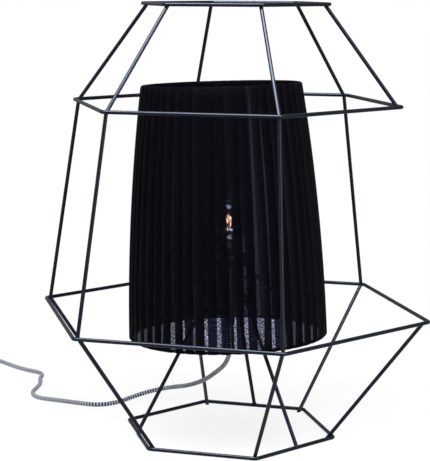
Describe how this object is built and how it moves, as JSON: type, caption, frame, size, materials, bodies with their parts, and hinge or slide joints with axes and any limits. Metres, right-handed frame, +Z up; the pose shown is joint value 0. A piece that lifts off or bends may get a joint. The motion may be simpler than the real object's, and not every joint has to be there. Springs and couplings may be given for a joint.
{
  "type": "wire bedside lamp",
  "caption": "Bedside lamp: a faceted wire cage on a flat wire ring holds a pleated black organza shade over a small screw bulb on a wire tripod, with a textile cord, inline switch and plug.",
  "frame": {"origin": "on the floor, below the centre of the cage's widest ring", "axes": "+Z up; +X towards the corner of the cage that has no wall strut"},
  "size_m": [0.7543, 0.4729, 0.464],
  "materials": {
    "cage_wire": "satin black paint",
    "hub_plate": "satin black paint",
    "zinc": "zinc plated",
    "holder_plastic": "matte black",
    "insulator": "matte cream",
    "brass": "bare",
    "bulb_glass": "clear",
    "bulb_cap": "bare, threaded",
    "bulb_contact": "glassy black with a solder point",
    "stem_glass": "clear",
    "filament": "bare tungsten",
    "shade_fabric": "black organza in knife pleats",
    "shade_frame": "satin black paint",
    "cord_textile": "black and white zigzag braid",
    "switch_plastic": "matte black",
    "plug_rubber": "matte black",
    "pins": "nickel plated"
  },
  "bodies": {
    "lamp": {"base_ring": "cage_wire", "base_strut_back_left": "cage_wire", "base_strut_back_right": "cage_wire", "base_strut_front_left": "cage_wire", "base_strut_front_right": "cage_wire", "base_strut_left": "cage_wire", "base_strut_right": "cage_wire", "bulb_cap": "bulb_cap", "bulb_contact": "bulb_contact", "bulb_filament": "filament", "bulb_glass": "bulb_glass", "bulb_stem": "stem_glass", "centre_contact": "brass", "cord_coil": "cord_textile", "cord_grip": "holder_plastic", "cord_in_stem": "cord_textile", "cord_lead": "cord_textile", "cord_to_coil": "cord_textile", "cord_to_plug": "cord_textile", "crown_strut_back_left": "cage_wire", "crown_strut_back_right": "cage_wire", "crown_strut_front_left": "cage_wire", "crown_strut_front_right": "cage_wire", "crown_strut_left": "cage_wire", "crown_strut_right": "cage_wire", "hub_nut": "zinc", "hub_plate": "hub_plate", "lampholder_cap": "holder_plastic", "lampholder_insulator": "insulator", "lampholder_skirt": "holder_plastic", "leg_back": "cage_wire", "leg_left": "cage_wire", "leg_right": "cage_wire", "lower_ring": "cage_wire", "plug_body": "plug_rubber", "plug_pins": "pins", "shade_clamp_ring": "holder_plastic", "switch_base": "switch_plastic", "switch_cover": "switch_plastic", "switch_screws": "zinc", "thread_shell": "brass", "threaded_nipple": "zinc", "top_ring": "cage_wire", "upper_ring": "cage_wire", "wall_strut_back_left": "cage_wire", "wall_strut_back_right": "cage_wire", "wall_strut_front_left": "cage_wire", "wall_strut_front_right": "cage_wire", "wall_strut_left": "cage_wire"},
    "shade": {"shade_arms": "shade_frame", "shade_bottom_ring": "shade_frame", "shade_fabric": "shade_fabric", "shade_fitter_ring": "shade_frame", "shade_ribs": "shade_frame", "shade_top_ring": "shade_frame"},
    "rocker": {"switch_rocker": "switch_plastic"}
  },
  "joints": [
    {"name": "shade_turn", "type": "hinge", "parent": "lamp", "child": "shade", "pos_m": [-0.001, -0.0003, 0.148], "axis": [-0.0348, 0.0162, 0.9993], "continuous": true},
    {"name": "rocker_press", "type": "hinge", "parent": "lamp", "child": "rocker", "pos_m": [-0.44449, 0.25509, 0.013], "axis": [-0.5299, -0.848, 0], "range_deg": [0, 16]}
  ]
}
